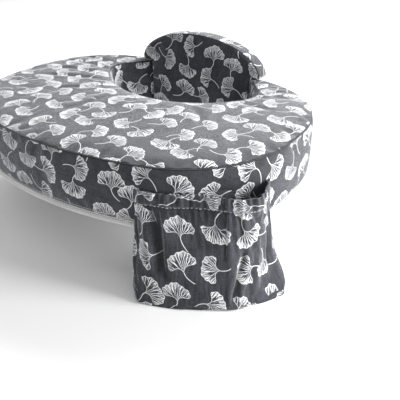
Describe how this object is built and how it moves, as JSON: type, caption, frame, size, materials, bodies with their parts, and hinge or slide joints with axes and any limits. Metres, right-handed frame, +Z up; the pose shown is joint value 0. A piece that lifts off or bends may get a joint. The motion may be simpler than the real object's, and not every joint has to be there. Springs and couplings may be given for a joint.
{
  "type": "nursing pillow",
  "caption": "Wrap-round nursing pillow: firm C-shaped pad in a printed, zipped slipcover, with a hanging pocket and a hinged backrest on a buckled waist strap.",
  "frame": {"origin": "middle of the waist opening, level with the underside of the pad", "axes": "+Z up out of the pad's top, -Y to the wide front of the pad, +Y to the backrest, +X to the side of the front that carries the pocket"},
  "size_m": [0.7079, 0.5112, 0.2943],
  "materials": {
    "printed_cotton": "grey woven cotton with a white leaf print",
    "foam": "firm open-cell foam",
    "zip_tape": "white woven tape",
    "zip_chain": "white nylon coil",
    "zip_metal": "nickel plated",
    "buckle_plastic": "moulded acetal",
    "webbing": "woven polypropylene webbing",
    "elastic": "braided elastic",
    "label": "blank satin label"
  },
  "bodies": {
    "pad": {"pad_foam": "foam", "pad_top_panel": "printed_cotton", "pad_bottom_panel": "printed_cotton", "pad_outer_band": "printed_cotton", "pad_inner_band": "printed_cotton", "zipper_tape_lower": "zip_tape", "zipper_tape_upper": "zip_tape", "zipper_chain": "zip_chain", "zipper_top_stop": "zip_metal", "zipper_bottom_stop": "zip_metal", "hinge_tape_pad": "printed_cotton", "care_label": "label", "socket_tab": "webbing", "buckle_socket": "buckle_plastic"},
    "zip_slider": {"zipper_slider": "zip_metal"},
    "zip_pull": {"zipper_pull": "zip_metal"},
    "pocket": {"pocket_back": "printed_cotton", "pocket_front": "printed_cotton", "pocket_side_left": "printed_cotton", "pocket_side_right": "printed_cotton", "pocket_base": "printed_cotton", "pocket_hem": "printed_cotton", "pocket_elastic": "elastic"},
    "backrest": {"backrest_foam": "foam", "backrest_front_panel": "printed_cotton", "backrest_rear_panel": "printed_cotton", "backrest_edge_band": "printed_cotton", "hinge_tape_backrest": "printed_cotton", "strap_adjuster": "buckle_plastic", "adjuster_tab": "webbing"},
    "strap": {"strap_webbing": "webbing", "buckle_plug": "buckle_plastic"},
    "latch_upper": {"buckle_latch_upper": "buckle_plastic"},
    "latch_lower": {"buckle_latch_lower": "buckle_plastic"}
  },
  "joints": [
    {"name": "backrest_swing", "type": "hinge", "parent": "pad", "child": "backrest", "pos_m": [-0.1265, 0.125, 0], "axis": [0, 0, 1], "range_deg": [0, 100]},
    {"name": "strap_adjust", "type": "slide", "parent": "backrest", "child": "strap", "axis": [-1, 0, 0], "range_m": [0, 0.028]},
    {"name": "latch_upper_squeeze", "type": "hinge", "parent": "strap", "child": "latch_upper", "pos_m": [0.12268, 0.12962, 0.07], "axis": [0.1392, 0.9903, 0], "range_deg": [0, 9], "stiffness_Nm_per_rad": 0.2},
    {"name": "latch_lower_squeeze", "type": "hinge", "parent": "strap", "child": "latch_lower", "pos_m": [0.12268, 0.12962, 0.05], "axis": [-0.1392, -0.9903, 0], "range_deg": [0, 9], "stiffness_Nm_per_rad": 0.2},
    {"name": "pocket_swing", "type": "hinge", "parent": "pad", "child": "pocket", "pos_m": [0.24455, -0.28733, 0.072], "axis": [-0.788, -0.6157, 0], "range_deg": [0, 70]},
    {"name": "zip_travel", "type": "hinge", "parent": "pad", "child": "zip_slider", "pos_m": [-0.12, -0.12792, 0.0048], "axis": [0, 0, 1], "range_deg": [0, 72]},
    {"name": "zip_pull_flip", "type": "hinge", "parent": "zip_slider", "child": "zip_pull", "pos_m": [-0.3232, -0.12792, 0.0051], "axis": [0, 0, -1], "range_deg": [0, 170]}
  ]
}
